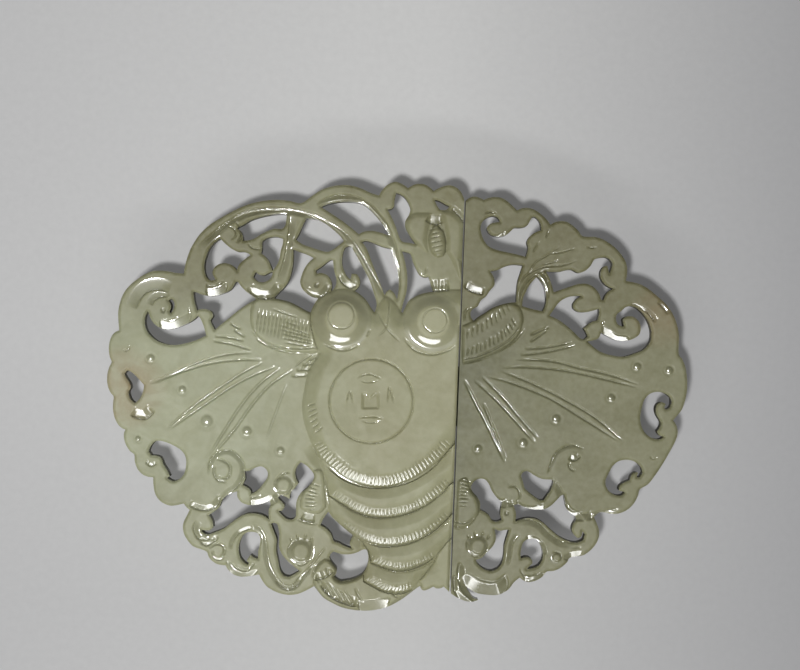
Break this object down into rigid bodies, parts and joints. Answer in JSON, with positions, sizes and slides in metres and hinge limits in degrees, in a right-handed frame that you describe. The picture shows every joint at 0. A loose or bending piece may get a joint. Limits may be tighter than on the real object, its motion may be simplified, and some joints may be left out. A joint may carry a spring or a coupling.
{
  "type": "belt buckle",
  "caption": "Two-part belt buckle of pierced, carved green stone, shaped as a butterfly, with hook, loop and belt studs.",
  "frame": {"origin": "under the middle of the closed buckle, in the plane of the belt studs' outer faces", "axes": "+X along the belt towards the right half, +Y up the seam towards the antennae, +Z out of the carved front"},
  "size_m": [0.115, 0.0852, 0.0134],
  "materials": {
    "carved_stone": "polished"
  },
  "bodies": {
    "left_half": {"left_plaque": "carved_stone", "left_belt_stud": "carved_stone", "fastening_hook": "carved_stone"},
    "right_half": {"right_plaque": "carved_stone", "right_belt_stud": "carved_stone", "fastening_loop": "carved_stone"}
  },
  "joints": [
    {"name": "unhooking", "type": "slide", "parent": "left_half", "child": "right_half", "axis": [0, 0, 1], "range_m": [0, 0.012]}
  ]
}
